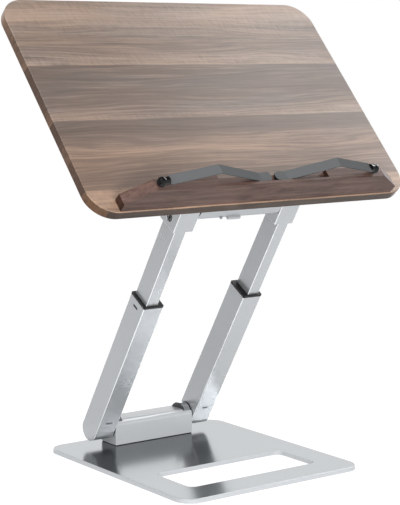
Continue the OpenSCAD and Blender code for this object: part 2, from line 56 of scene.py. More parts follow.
MM = 0.001
RECORD = frame["record"]
BODY_OF = {node: body for body, nodes in RECORD["behaviour"]["bodies"].items() for node in nodes}
JOINTS = {joint["name"]: joint for joint in frame["joints"]}
SIDES = ("left", "right")
ACROSS = Vector((1, 0, 0))
UP = Vector((0, 0, 1))
FOLD_DEGREES = 38.0
FLAT_DEGREES = 0.4
MERGE_REACH = 0.002 * MM
SCREEN_GAMMA = 2.2

Colour = tuple[float, float, float]


def srgb(red: int, green: int, blue: int) -> Colour:
    """Turns a colour as seen on a screen, 0 to 255, into the shader's linear values.

    Args:
        red: Red share of the colour.
        green: Green share of the colour.
        blue: Blue share of the colour.

    Returns:
        The linear colour.
    """
    return tuple((value / 255) ** SCREEN_GAMMA for value in (red, green, blue))


class Value:
    """A shader socket that takes part in Python expressions."""

    def __init__(self, bench: "Bench", socket: bpy.types.NodeSocket) -> None:
        """Keeps the socket and the bench that adds nodes behind it."""
        self.bench = bench
        self.socket = socket

    def _math(self, operation: str, left: Any, right: Any) -> "Value":
        """Adds one Math node.

        Args:
            operation: The Math node's operation.
            left: First number or value.
            right: Second number or value.

        Returns:
            The node's result.
        """
        return self.bench.value("ShaderNodeMath", {"operation": operation}, {0: left, 1: right})

    def __add__(self, other: Any) -> "Value":
        """Value plus other."""
        return self._math("ADD", self, other)

    def __radd__(self, other: Any) -> "Value":
        """Other plus value."""
        return self._math("ADD", other, self)

    def __sub__(self, other: Any) -> "Value":
        """Value minus other."""
        return self._math("SUBTRACT", self, other)

    def __rsub__(self, other: Any) -> "Value":
        """Other minus value."""
        return self._math("SUBTRACT", other, self)

    def __mul__(self, other: Any) -> "Value":
        """Value times other."""
        return self._math("MULTIPLY", self, other)

    def __rmul__(self, other: Any) -> "Value":
        """Other times value."""
        return self._math("MULTIPLY", other, self)

    def __truediv__(self, other: Any) -> "Value":
        """Value over other."""
        return self._math("DIVIDE", self, other)

    def fraction(self) -> "Value":
        """What is left above the whole number."""
        return self._math("FRACT", self, 0.0)

    def above(self, low: float, high: float) -> "Value":
        """Rises smoothly from 0 to 1 between two limits.

        Args:
            low: Where it leaves 0.
            high: Where it reaches 1.

        Returns:
            The smooth step.
        """
        settings = {"interpolation_type": "SMOOTHSTEP", "clamp": True}
        sockets = {"Value": self, "From Min": low, "From Max": high}
        return self.bench.value("ShaderNodeMapRange", settings, sockets)


class Bench:
    """One material's nodes, with the shader that a finish drives."""

    mix_inputs: ClassVar[tuple[int, int, int]] = (0, 6, 7)
    mix_result: ClassVar[int] = 2

    def __init__(self, name: str) -> None:
        """Starts a material with a Principled shader.

        Args:
            name: The material's name.
        """
        self.material = bpy.data.materials.new(name)
        self.material.use_nodes = True
        self.tree = self.material.node_tree
        self.tree.nodes.clear()
        self.shader = self.tree.nodes.new("ShaderNodeBsdfPrincipled")
        output = self.tree.nodes.new("ShaderNodeOutputMaterial")
        self.tree.links.new(self.shader.outputs["BSDF"], output.inputs["Surface"])

    @classmethod
    def for_world(cls, name: str) -> "Bench":
        """Starts the scene's surroundings instead of a material.

        Args:
            name: The world's name.

        Returns:
            A bench whose shader is the world's background.
        """
        bench = cls.__new__(cls)
        world = bpy.data.worlds.new(name)
        world.use_nodes = True
        bench.tree = world.node_tree
        bench.shader = world.node_tree.nodes["Background"]
        bpy.context.scene.world = world
        return bench

    def feed(self, target: bpy.types.NodeSocket, source: Any) -> None:
        """Links a value into a socket, or sets the socket to a constant.

        Args:
            target: The socket to fill.
            source: A Value, a number, a colour or a vector.
        """
        if isinstance(source, Value):
            self.tree.links.new(source.socket, target)
        elif target.type == "RGBA" and len(source) == 3:
            target.default_value = (*source, 1.0)
        else:
            target.default_value = source

    def node(self, kind: str, settings: dict[str, Any], sockets: dict[Any, Any]) -> bpy.types.Node:
        """Adds one node.

        Args:
            kind: The node's type.
            settings: Its own settings, with a ramp's stops under "stops".
            sockets: What goes into its sockets, by name or number.

        Returns:
            The node.
        """
        made = self.tree.nodes.new(kind)
        for name, setting in settings.items():
            if name == "stops":
                self._stops(made.color_ramp, setting)
            else:
                setattr(made, name, setting)
        for name, source in sockets.items():
            self.feed(made.inputs[name], source)
        return made

    @staticmethod
    def _stops(ramp: bpy.types.ColorRamp, stops: list[tuple[float, Colour]]) -> None:
        """Sets a ramp's stops.

        Args:
            ramp: The ramp.
            stops: Place and colour of each stop, in order.
        """
        while len(ramp.elements) < len(stops):
            ramp.elements.new(1.0)
        for element, (place, colour) in zip(ramp.elements, stops):
            element.position = place
            element.color = (*colour, 1.0)

    def value(
        self, kind: str, settings: dict[str, Any], sockets: dict[Any, Any], out: Any = 0
    ) -> Value:
        """Adds one node and takes one of its outputs.

        Args:
            kind: The node's type.
            settings: Its own settings.
            sockets: What goes into its sockets.
            out: The output's name or number.

        Returns:
            The output as a value.
        """
        return Value(self, self.node(kind, settings, sockets).outputs[out])

    def place(self, turn: float = 0.0, origin: Vector = Vector((0, 0, 0))) -> Value:
        """The surface point in the piece's own directions.

        Args:
            turn: Angle about X by which the piece leans.
            origin: Point of the frame that becomes the zero point.

        Returns:
            The point.
        """
        point = self.value("ShaderNodeTexCoord", {}, {}, "Object")
        back = Matrix.Rotation(-turn, 3, "X")
        sockets = {"Vector": point, "Location": -(back @ origin), "Rotation": (-turn, 0.0, 0.0)}
        return self.value("ShaderNodeMapping", {"vector_type": "POINT"}, sockets)

    def stretch(self, point: Value, scale: tuple[float, float, float]) -> Value:
        """A point with each direction scaled.

        Args:
            point: The point.
            scale: Factor for each direction.

        Returns:
            The scaled point.
        """
        return self.value("ShaderNodeVectorMath", {"operation": "MULTIPLY"}, {0: point, 1: scale})

    def parts(self, point: Value) -> tuple[Value, Value, Value]:
        """A point's three numbers."""
        split = self.node("ShaderNodeSeparateXYZ", {}, {0: point})
        return tuple(Value(self, output) for output in split.outputs)

    def join(self, x: Any, y: Any, z: Any) -> Value:
        """A point from three numbers or values."""
        return self.value("ShaderNodeCombineXYZ", {}, {0: x, 1: y, 2: z})

    def noise(self, point: Value, scale: float, detail: float = 3.0, rough: float = 0.5) -> Value:
        """Soft noise from 0 to 1.

        Args:
            point: Where it is read.
            scale: How many features fit in a metre.
            detail: How many finer layers it has.
            rough: Weight of the finer layers.

        Returns:
            The noise.
        """
        sockets = {"Vector": point, "Scale": scale, "Detail": detail, "Roughness": rough}
        return self.value("ShaderNodeTexNoise", {"noise_dimensions": "3D"}, sockets, "Fac")

    def mix(self, share: Any, first: Any, second: Any) -> Value:
        """Two colours mixed by a share.

        Args:
            share: Share of the second colour.
            first: First colour.
            second: Second colour.

        Returns:
            The mixed colour.
        """
        settings = {"data_type": "RGBA", "clamp_factor": True}
        sockets = dict(zip(self.mix_inputs, (share, first, second)))
        return self.value("ShaderNodeMix", settings, sockets, self.mix_result)

    def ramp(self, share: Value, stops: list[tuple[float, Colour]]) -> Value:
        """A colour read from a ramp."""
        return self.value("ShaderNodeValToRGB", {"stops": stops}, {"Fac": share})

    def bump(self, height: Value, depth: float, strength: float) -> Value:
        """A surface normal from a height.

        Args:
            height: The height, from 0 to 1.
            depth: The real depth of the relief in metres.
            strength: How strongly it shows.

        Returns:
            The normal.
        """
        sockets = {"Height": height, "Distance": depth, "Strength": strength}
        return self.value("ShaderNodeBump", {}, sockets, "Normal")

    def surface(self, **inputs: Any) -> bpy.types.Material:
        """Fills the shader's sockets.

        Args:
            inputs: Socket names with underscores for spaces, and what goes in.

        Returns:
            The finished material.
        """
        for name, source in inputs.items():
            self.feed(self.shader.inputs[name.replace("_", " ")], source)
        return self.material


def between(facing: Vector, least: float, most: float) -> Callable[[bpy.types.MeshPolygon], bool]:
    """A test of the direction in which a face looks.

    Args:
        facing: Direction that faces are measured against, either way round.
        least: Smallest cosine between a face's direction and that one.
        most: Largest cosine.

    Returns:
        The test, for Shop.paint.
    """
    return lambda face: least <= abs(face.normal.dot(facing)) <= most


def leg_lean() -> float:
    """Angle by which the legs lean towards the reader."""
    axis = Vector(JOINTS["leg_extend"]["axis"])
    return math.atan2(-axis.y, axis.z)


def panel_slope() -> float:
    """Angle of the panel above the horizontal."""
    normal = Vector(JOINTS["right_clip_swing"]["axis"])
    return math.atan2(-normal.y, normal.z)


class Lay(Enum):
    """Which of the stand's directions a finish follows."""

    LEVEL = "level"
    LEG = "leg"
    PANEL = "panel"

    def turn(self) -> float:
        """The direction's angle about X."""
        return {Lay.LEVEL: 0.0, Lay.LEG: leg_lean(), Lay.PANEL: panel_slope()}[self]

    def origin(self) -> Vector:
        """The direction's zero point."""
        joint = {Lay.LEVEL: None, Lay.LEG: "leg_fold", Lay.PANEL: "panel_tilt"}[self]
        return Vector(JOINTS[joint]["pos_m"]) if joint else Vector((0, 0, 0))


def shaded(colour: Colour, factor: float) -> Colour:
    """A colour made darker or lighter, at most up to white."""
    return tuple(min(1.0, value * factor) for value in colour)


@dataclass(frozen=True)
class SatinMetal:
    """Bead-blasted and anodised metal with a faint drawn grain."""

    name: str
    tint: Colour
    lay: Lay
    roughness: float = 0.34
    grain: tuple[float, float, float] = (1.0, 1.0, 0.05)
    relief: float = 0.12
    metallic: float = 1.0
    grazing: float = 1.0
    drawn_scale: ClassVar[float] = 2600.0
    speck_scale: ClassVar[float] = 5200.0
    cloud_scale: ClassVar[float] = 18.0
    drawn_tone: ClassVar[float] = 0.5
    speck_tone: ClassVar[float] = 0.35
    cloud_tone: ClassVar[float] = 0.3
    darkest: ClassVar[float] = 0.90
    lightest: ClassVar[float] = 1.06
    drawn_haze: ClassVar[float] = 0.06
    cloud_haze: ClassVar[float] = 0.3
    speck_relief: ClassVar[float] = 0.3
    relief_depth: ClassVar[float] = 0.04 * MM

    def material(self) -> bpy.types.Material:
        """The finish as a material."""
        bench = Bench(self.name)
        point = bench.place(self.lay.turn(), self.lay.origin())
        drawn = bench.noise(bench.stretch(point, self.grain), self.drawn_scale, rough=0.6)
        speck = bench.noise(point, self.speck_scale, detail=1.0)
        cloud = bench.noise(point, self.cloud_scale, detail=2.0)
        tone = 0.5 + (drawn - 0.5) * self.drawn_tone
        tone = tone + (speck - 0.5) * self.speck_tone + (cloud - 0.5) * self.cloud_tone
        haze = 1.0 + (drawn - 0.5) * self.drawn_haze + (cloud - 0.5) * self.cloud_haze
        height = drawn * (1.0 - self.speck_relief) + speck * self.speck_relief
        dark, light = (shaded(self.tint, factor) for factor in (self.darkest, self.lightest))
        return bench.surface(
            Base_Color=bench.mix(tone, dark, light),
            Metallic=self.metallic,
            Specular_Tint=(self.grazing,) * 3,
            Roughness=self.roughness * haze,
            Normal=bench.bump(height, self.relief_depth, self.relief),
        )


@dataclass(frozen=True)
class GrainLayer:
    """One layer of a board's figure, in features per metre, with its share in the board's tone."""

    along: float
    across: float
    through: float
    share: float = 1.0
    bend: float = 0.0
    slant: float = 0.0
    detail: float = 2.0
    rough: float = 0.5

    def read(
        self, bench: Bench, place: tuple[Value, Value, Value], swirl: Value | None = None
    ) -> Value:
        """The layer's noise at a place.

        Args:
            bench: The material's bench.
            place: The surface point along the board, across it and through it.
            swirl: What bends the lines of a layer that bends.

        Returns:
            The noise, from 0 to 1.
        """
        x, up, out = place
        along, across = x * self.along, up * self.across
        if self.slant:
            along = along + up * self.slant
        if swirl is not None:
            across = across + swirl * self.bend
        point = bench.join(along, across, out * self.through)
        return bench.noise(point, 1.0, self.detail, self.rough)


@dataclass(frozen=True)
class StaveVeneer:
    """Walnut-toned boards laid side by side, with the grain along the reader's left and right."""

    name: str
    dark: Colour
    light: Colour
    boards: tuple[tuple[float, float], ...]
    figure: float = 1.0
    roughness: float = 0.42
    greyed: float = 0.45
    warmth: float = 0.0
    flecks: float = 0.1
    gloss: float = 0.5
    drift: ClassVar[GrainLayer] = GrainLayer(7.0, 34.0, 20.0, 0.22)
    swirl: ClassVar[GrainLayer] = GrainLayer(4.5, 30.0, 4.0, rough=0.45)
    fibre: ClassVar[GrainLayer] = GrainLayer(9.0, 400.0, 200.0, 0.55, 10.0, detail=3.0, rough=0.6)
    fine: ClassVar[GrainLayer] = GrainLayer(22.0, 950.0, 400.0, 0.45, 16.0, detail=3.0, rough=0.7)
    streak: ClassVar[GrainLayer] = GrainLayer(3.2, 130.0, 60.0, 0.32, 5.0, rough=0.55)
    pore: ClassVar[GrainLayer] = GrainLayer(60.0, 1700.0, 700.0, 0.1)
    fleck: ClassVar[GrainLayer] = GrainLayer(300.0, 110.0, 90.0, slant=90.0)
    cool: ClassVar[GrainLayer] = GrainLayer(9.0, 55.0, 20.0)
    rings_per_metre: ClassVar[float] = 170.0
    ring_bend: ClassVar[float] = 9.0
    ring_middle: ClassVar[float] = 0.33
    ring_share: ClassVar[float] = 0.07
    pore_rise: ClassVar[tuple[float, float]] = (0.58, 0.72)
    fleck_rise: ClassVar[tuple[float, float]] = (0.36, 0.56)
    cool_rise: ClassVar[tuple[float, float]] = (0.42, 0.66)
    warm_fade: ClassVar[tuple[float, float]] = (0.02, 0.09)
    ramp_greys: ClassVar[tuple[float, float, float]] = (0.0, 0.45, -0.5)
    fibre_shine: ClassVar[float] = 0.14
    pore_haze: ClassVar[float] = 0.12
    relief: ClassVar[float] = 0.25
    relief_depth: ClassVar[float] = 0.12 * MM

    def material(self) -> bpy.types.Material:
        """The finish as a material."""
        bench = Bench(self.name)
        place = bench.parts(bench.place(Lay.PANEL.turn(), Lay.PANEL.origin()))
        up = place[1]
        shade = self._boards(bench, up)
        drift = self.drift.read(bench, place) - 0.5
        swirl = self.swirl.read(bench, place)
        bent = (self.fibre, self.fine, self.streak)
        fibre, fine, streak = (layer.read(bench, place, swirl) - 0.5 for layer in bent)
        pore = self.pore.read(bench, place).above(*self.pore_rise)
        fleck = (self.fleck.read(bench, place) - 0.5) * self.flecks * shade.above(*self.fleck_rise)
        lines = fibre * self.fibre.share + fine * self.fine.share + streak * self.streak.share
        lines = lines + self._rings(up, swirl) * self.ring_share + fleck
        tone = shade + drift * self.drift.share + lines * self.figure - pore * self.pore.share
        cool = self.cool.read(bench, place).above(*self.cool_rise)
        plain, grey, warm = (bench.ramp(tone, self._tones(share)) for share in self.ramp_greys)
        colour = bench.mix(cool * self.greyed, plain, grey)
        return bench.surface(
            Base_Color=bench.mix(self.warmth * (1.0 - up.above(*self.warm_fade)), colour, warm),
            Roughness=self.roughness - fibre * self.fibre_shine + pore * self.pore_haze,
            Normal=bench.bump((fibre + fine - pore) * 0.5, self.relief_depth, self.relief),
            Specular_IOR_Level=self.gloss,
        )

    def _rings(self, up: Value, swirl: Value) -> Value:
        """The growth rings, light in the middle of each.

        Args:
            up: Height along the slope above the upper hinge axis.
            swirl: What bends them.

        Returns:
            The rings, around 0.
        """
        turns = up * self.rings_per_metre + swirl * self.ring_bend
        away = (turns.fraction() - 0.5) * 2.0
        return self.ring_middle - away * away

    def _tones(self, grey: float) -> list[tuple[float, Colour]]:
        """Colours from a board's darkest line to its lightest.

        Args:
            grey: Share of grey in them, or less than 0 for warmer colours.

        Returns:
            The stops of a ramp.
        """
        middle = tuple((a + b) / 2 for a, b in zip(self.dark, self.light))
        tones = []
        for place, colour, factor in (
            (0.0, self.dark, 0.66),
            (0.3, self.dark, 1.0),
            (0.5, middle, 1.0),
            (0.72, self.light, 1.0),
            (1.0, self.light, 1.25),
        ):
            level = sum(colour) / 3
            tones.append((place, tuple(factor * (v + (level - v) * grey) for v in colour)))
        return tones

    def _boards(self, bench: Bench, up: Value) -> Value:
        """Lightness of the board at a height, from its dark edge to its light one.

        Args:
            bench: The material's bench.
            up: Height along the slope above the upper hinge axis.

        Returns:
            The lightness, from 0 to 1.
        """
        low, high = self.boards[0][0], self.boards[-1][0]
        stops = [((height - low) / (high - low), (shade,) * 3) for height, shade in self.boards]
        return bench.parts(bench.ramp((up - low) / (high - low), stops))[0]


@dataclass(frozen=True)
class MouldedBlack:
    """Black moulded plastic or rubber with a fine spark-eroded texture."""

    name: str
    tint: Colour
    roughness: float
    relief: float = 0.2
    pit_scale: ClassVar[float] = 3800.0
    cloud_scale: ClassVar[float] = 60.0
    cloud_share: ClassVar[float] = 0.6
    darkest: ClassVar[float] = 0.8
    lightest: ClassVar[float] = 1.35
    pit_haze: ClassVar[float] = 0.15
    cloud_haze: ClassVar[float] = 0.1
    relief_depth: ClassVar[float] = 0.03 * MM

    def material(self) -> bpy.types.Material:
        """The finish as a material."""
        bench = Bench(self.name)
        point = bench.place()
        pit = bench.noise(point, self.pit_scale, detail=2.0, rough=0.6)
        cloud = bench.noise(point, self.cloud_scale, detail=2.0)
        tone = cloud * self.cloud_share + pit * (1.0 - self.cloud_share)
        dark, light = (shaded(self.tint, factor) for factor in (self.darkest, self.lightest))
        haze = (pit - 0.5) * self.pit_haze + (cloud - 0.5) * self.cloud_haze
        return bench.surface(
            Base_Color=bench.mix(tone, dark, light),
            Roughness=self.roughness + haze,
            Normal=bench.bump(pit, self.relief_depth, self.relief),
        )


@dataclass(frozen=True)
class GlossBlack:
    """Polished black plastic, as on the clips' balls."""

    name: str
    tint: Colour
    roughness: float = 0.08
    gloss: float = 0.4
    haze_scale: ClassVar[float] = 240.0
    haze_depth: ClassVar[float] = 0.06
    darkest: ClassVar[float] = 0.8
    lightest: ClassVar[float] = 1.3

    def material(self) -> bpy.types.Material:
        """The finish as a material."""
        bench = Bench(self.name)
        haze = bench.noise(bench.place(), self.haze_scale)
        dark, light = (shaded(self.tint, factor) for factor in (self.darkest, self.lightest))
        return bench.surface(
            Base_Color=bench.mix(haze, dark, light),
            Roughness=self.roughness + (haze - 0.5) * self.haze_depth,
            Specular_IOR_Level=self.gloss,
        )


@dataclass(frozen=True)
class CoatedSpring:
    """Matte grey coating on spring steel."""

    name: str
    tint: Colour
    roughness: float = 0.42
    gloss: float = 0.0
    speck_scale: ClassVar[float] = 3000.0
    drawn_scale: ClassVar[float] = 1800.0
    grain: ClassVar[tuple[float, float, float]] = (0.06, 1.0, 1.0)
    darkest: ClassVar[float] = 0.82
    lightest: ClassVar[float] = 1.2
    speck_haze: ClassVar[float] = 0.18
    relief: ClassVar[float] = 0.18
    relief_depth: ClassVar[float] = 0.03 * MM

    def material(self) -> bpy.types.Material:
        """The finish as a material."""
        bench = Bench(self.name)
        point = bench.place(Lay.PANEL.turn(), Lay.PANEL.origin())
        speck = bench.noise(point, self.speck_scale, detail=2.0, rough=0.6)
        drawn = bench.noise(bench.stretch(point, self.grain), self.drawn_scale, detail=2.0)
        dark, light = (shaded(self.tint, factor) for factor in (self.darkest, self.lightest))
        return bench.surface(
            Base_Color=bench.mix((speck + drawn) * 0.5, dark, light),
            Roughness=self.roughness + (speck - 0.5) * self.speck_haze,
            Normal=bench.bump(speck, self.relief_depth, self.relief),
            Specular_IOR_Level=self.gloss,
        )


@dataclass(frozen=True)
class Easing:
    """How the sharp edges of a machined or moulded piece are broken."""

    width: float
    segments: int = 2
    sharpest: float = 24.0

    def apply(self, mesh: bmesh.types.BMesh) -> None:
        """Rounds every outer edge that is sharper than the limit.

        Args:
            mesh: The mesh, already merged.
        """
        limit = math.radians(self.sharpest)
        closed = [edge for edge in mesh.edges if len(edge.link_faces) == 2]
        outer = [edge for edge in closed if edge.is_convex and edge.calc_face_angle(0.0) > limit]
        bmesh.ops.bevel(
            mesh, geom=outer, offset=self.width, offset_type="OFFSET", segments=self.segments,
            profile=0.5, affect="EDGES", material=-1, clamp_overlap=True,
        )


class Drive(Enum):
    """What turns a screw, by the number of corners of its recess."""

    HEX = 6
    CROSS = 8


@dataclass(frozen=True)
class Recess:
    """The recess in a screw's head."""

    drive: Drive
    radius: float
    depth: float
    waist: float = 0.4
    disc_corners: ClassVar[int] = 20
    disc_evenness: ClassVar[float] = 0.97
    head_share: ClassVar[float] = 0.9

    def apply(self, mesh: bmesh.types.BMesh) -> None:
        """Sinks the recess into every head of a set of screws.

        Args:
            mesh: The screws, already merged.
        """
        discs = [face for face in mesh.faces if self._is_disc(face)]
        least = self.head_share * max(self._reach(face)[1] for face in discs)
        for head in [face for face in discs if self._reach(face)[1] > least]:
            self._sink(mesh, head)
        bmesh.ops.recalc_face_normals(mesh, faces=mesh.faces)

    @staticmethod
    def _reach(face: bmesh.types.BMFace) -> tuple[float, float]:
        """Distances of a face's nearest and furthest corner from its middle."""
        reach = [(corner.co - face.calc_center_median()).length for corner in face.verts]
        return min(reach), max(reach)

    def _is_disc(self, face: bmesh.types.BMFace) -> bool:
        """Whether a face is a full disc."""
        least, most = self._reach(face)
        return len(face.verts) > self.disc_corners and least > self.disc_evenness * most

    def _sink(self, mesh: bmesh.types.BMesh, head: bmesh.types.BMFace) -> None:
        """Sinks the recess into one head.

        Args:
            mesh: The screws.
            head: The head's flat end.
        """
        rim, middle, facing = list(head.edges), head.calc_center_median(), head.normal.copy()
        place = Matrix.Translation(middle) @ facing.to_track_quat("Z", "Y").to_matrix().to_4x4()
        bmesh.ops.delete(mesh, geom=[head], context="FACES_ONLY")
        ring = bmesh.ops.create_circle(
            mesh, segments=self.drive.value, radius=self.radius, matrix=place
        )["verts"]
        if self.drive is Drive.CROSS:
            about = Matrix.Translation(-middle)
            bmesh.ops.scale(mesh, vec=(self.waist,) * 3, space=about, verts=ring[::2])
        mouth = list({edge for corner in ring for edge in corner.link_edges})
        bmesh.ops.bridge_loops(mesh, edges=rim + mouth)
        made = bmesh.ops.extrude_edge_only(mesh, edges=mouth)["geom"]
        low = [item for item in made if isinstance(item, bmesh.types.BMVert)]
        bmesh.ops.translate(mesh, vec=-facing * self.depth, verts=low)
        edges = [item for item in made if isinstance(item, bmesh.types.BMEdge)]
        sole = [edge for edge in edges if all(corner in low for corner in edge.verts)]
        bmesh.ops.edgeloop_fill(mesh, edges=sole)


class Shop:
    """Makes pieces from the frame's nodes and puts them on their bodies."""

    def __init__(self) -> None:
        """Starts with no materials made."""
        self.materials: dict[str, bpy.types.Material] = {}

    def finish(self, finish: Any) -> bpy.types.Material:
        """A finish's material, made once.

        Args:
            finish: One of the finish classes.

        Returns:
            The material.
        """
        if finish.name not in self.materials:
            self.materials[finish.name] = finish.material()
        return self.materials[finish.name]

    def dress(self, node: str, finish: Any) -> None:
        """Gives a node of the frame its material.

        Args:
            node: The node's name.
            finish: Its finish.
        """
        mesh = frame["nodes"][node].data
        mesh.materials.clear()
        mesh.materials.append(self.finish(finish))
        LOG.info("%s keeps its solid, in %s", node, finish.name)

    def eased(
        self,
        node: str,
        finish: Any,
        easing: Easing,
        crease: float = FOLD_DEGREES,
        recess: Recess | None = None,
    ) -> bpy.types.Object:
        """Replaces a node by a copy with broken edges.

        Args:
            node: The node's name.
            finish: The copy's finish.
            easing: How its edges are broken.
            crease: Degrees above which an edge shows as a fold.
            recess: What is sunk into its heads, on screws.

        Returns:
            The new piece.
        """
        mesh = bmesh.new()
        mesh.from_mesh(frame["nodes"][node].data)
        bmesh.ops.remove_doubles(mesh, verts=mesh.verts, dist=MERGE_REACH)
        bmesh.ops.dissolve_limit(
            mesh,
            angle_limit=math.radians(FLAT_DEGREES),
            verts=mesh.verts,
            edges=mesh.edges,
            use_dissolve_boundaries=False,
        )
        easing.apply(mesh)
        if recess:
            recess.apply(mesh)
        return self.place(mesh, f"{node}_eased", node, finish, crease)

    def paint(
        self, piece: bpy.types.Object, finish: Any, chosen: Callable[[bpy.types.MeshPolygon], bool]
    ) -> None:
        """Gives the chosen faces of a piece a finish of their own.

        Args:
            piece: The piece.
            finish: The faces' finish.
            chosen: Says of a face whether it gets the finish.
        """
        piece.data.materials.append(self.finish(finish))
        last = len(piece.data.materials) - 1
        for face in piece.data.polygons:
            if chosen(face):
                face.material_index = last

    def place(
        self, mesh: bmesh.types.BMesh, name: str, node: str, finish: Any, crease: float
    ) -> bpy.types.Object:
        """Turns a bmesh into a piece that stands for a node.

        Args:
            mesh: The finished bmesh, which is freed.
            name: The piece's name.
            node: The node that it stands for.
            finish: The piece's finish.
            crease: Degrees above which an edge shows as a fold.

        Returns:
            The piece.
        """
        sharp = math.radians(crease)
        for edge in mesh.edges:
            edge.smooth = len(edge.link_faces) == 2 and edge.calc_face_angle(0.0) < sharp
        for face in mesh.faces:
            face.smooth = True
        data = bpy.data.meshes.new(name)
        mesh.to_mesh(data)
        mesh.free()
        data.materials.append(self.finish(finish))
        piece = bpy.data.objects.new(name, data)
        bpy.context.scene.collection.objects.link(piece)
        weighted = piece.modifiers.new("even_shading", "WEIGHTED_NORMAL")
        weighted.keep_sharp = True
        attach(piece, BODY_OF[node])
        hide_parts(node)
        LOG.info("%s stands for %s, in %s", name, node, finish.name)
        return piece


DRAWN_ACROSS = (0.05, 1.0, 1.0)
DRAWN_ROUND = (1.0, 0.05, 0.05)
BASE_METAL = SatinMetal(
    "base_satin_steel", srgb(178, 181, 183), Lay.LEVEL, 0.17, DRAWN_ACROSS, 0.05, grazing=0.5
)
LEG_METAL = SatinMetal(
    "leg_satin_aluminium", srgb(194, 197, 200), Lay.LEG, 0.26, relief=0.02, metallic=0.68
)
BLOCK_METAL = SatinMetal(
    "block_satin_aluminium", srgb(206, 209, 212), Lay.LEVEL, 0.36, DRAWN_ACROSS, 0.08, 0.4, 0.4
)
# Painted shade: the block aluminium tinted darker for the upper hinge parts under the panel.
TILT_SHADED_METAL = SatinMetal(
    "tilt_aluminium_painted_shade", srgb(188, 191, 194), Lay.PANEL, 0.36, DRAWN_ACROSS, 0.08, 0.4, 0.4
)
# Painted highlight: a near-white, rougher copy of the leg metal for the rounded corners of tubes and blocks.
LEG_HIGHLIGHT_PAINT = SatinMetal("leg_painted_edge_highlight", srgb(238, 241, 243), Lay.LEG, 0.45, metallic=0.3)
# Painted highlight: a lighter, duller copy of the base metal for the plate's rim.
BASE_HIGHLIGHT_PAINT = SatinMetal("base_painted_edge_highlight", srgb(190, 193, 196), Lay.LEVEL, 0.45, metallic=0.35)
TURNED_STEEL = SatinMetal(
    "turned_steel", srgb(208, 211, 213), Lay.LEVEL, 0.16, DRAWN_ROUND, 0.02
)
PLAIN_STEEL = SatinMetal("plain_steel", srgb(190, 192, 195), Lay.LEVEL, 0.28)
WASHER_STEEL = SatinMetal("washer_steel", srgb(84, 86, 88), Lay.LEVEL, 0.3, metallic=0.7)
GREY_CORE = MouldedBlack("grey_foot_core", srgb(96, 99, 101), 0.5)
# Painted shade: near-black steel for the bolt sockets and the clip strips' edge faces.
PAINTED_SHADE_STEEL = MouldedBlack("steel_painted_shade", srgb(38, 39, 41), 0.38, 0.1)
BLACK_PLASTIC = MouldedBlack("moulded_black", srgb(19, 19, 21), 0.5)
BLACK_RUBBER = MouldedBlack("soft_black_rubber", srgb(30, 30, 32), 0.75, 0.3)
BALL_GLOSS = GlossBlack("gloss_black_ball", srgb(14, 14, 15))
CLIP_COAT = CoatedSpring("grey_clip_coat", srgb(93, 94, 95), 0.5)
BOARD_JOINT = 0.1 * MM
PANEL_BOARDS = (
    (-30.0 * MM, 0.50),
    (-1.5 * MM - BOARD_JOINT, 0.54),
    (-1.5 * MM, 0.27),
    (24.0 * MM, 0.34),
    (40.0 * MM, 0.42),
    (50.0 * MM, 0.34),
    (64.0 * MM, 0.14),
    (75.0 * MM - BOARD_JOINT, 0.22),
    (75.0 * MM, 0.50),
    (96.0 * MM, 0.30),
    (128.0 * MM, 0.27),
    (139.5 * MM - BOARD_JOINT, 0.28),
    (139.5 * MM, 0.58),
    (162.0 * MM, 0.39),
    (186.0 * MM, 0.48),
    (206.0 * MM, 0.70),
    (222.0 * MM, 0.52),
)
LEDGE_BOARDS = ((-30.0 * MM, 0.40), (-20.0 * MM, 0.55), (-10.0 * MM, 0.48))
PANEL_VENEER = StaveVeneer(
    "walnut_staves", srgb(105, 91, 83), srgb(155, 134, 119), PANEL_BOARDS, warmth=0.8, flecks=0.32
)
LEDGE_VENEER = StaveVeneer(
    "dark_walnut_ledge", srgb(70, 53, 48), srgb(110, 87, 79), LEDGE_BOARDS, gloss=0.2, greyed=0.25
)
SIDE_BAND = StaveVeneer(
    "brown_side_band", srgb(76, 55, 42), srgb(120, 93, 74), PANEL_BOARDS, 0.7, gloss=0.2, greyed=0.1
)
# Edge band wood made darker as painted shade, for the panel's back rim and lower faces.
SHADED_EDGE_BAND = StaveVeneer(
    "edge_band_painted_shade", srgb(50, 41, 35), srgb(82, 67, 58), PANEL_BOARDS, 0.7, gloss=0.3
)
END_GRAIN = StaveVeneer(
    "dark_end_grain", srgb(46, 32, 27), srgb(80, 58, 49), LEDGE_BOARDS, 0.8, gloss=0.15, greyed=0.1
)
# Cosines to the across direction of the rounded corners that get the painted highlight.
HIGHLIGHT_CORNERS = (0.2, 0.95)
FINE_EDGE = Easing(0.2 * MM)
SMALL_EDGE = Easing(0.3 * MM)
BLOCK_EDGE = Easing(0.5 * MM)
DRUM_EDGE = Easing(0.6 * MM)


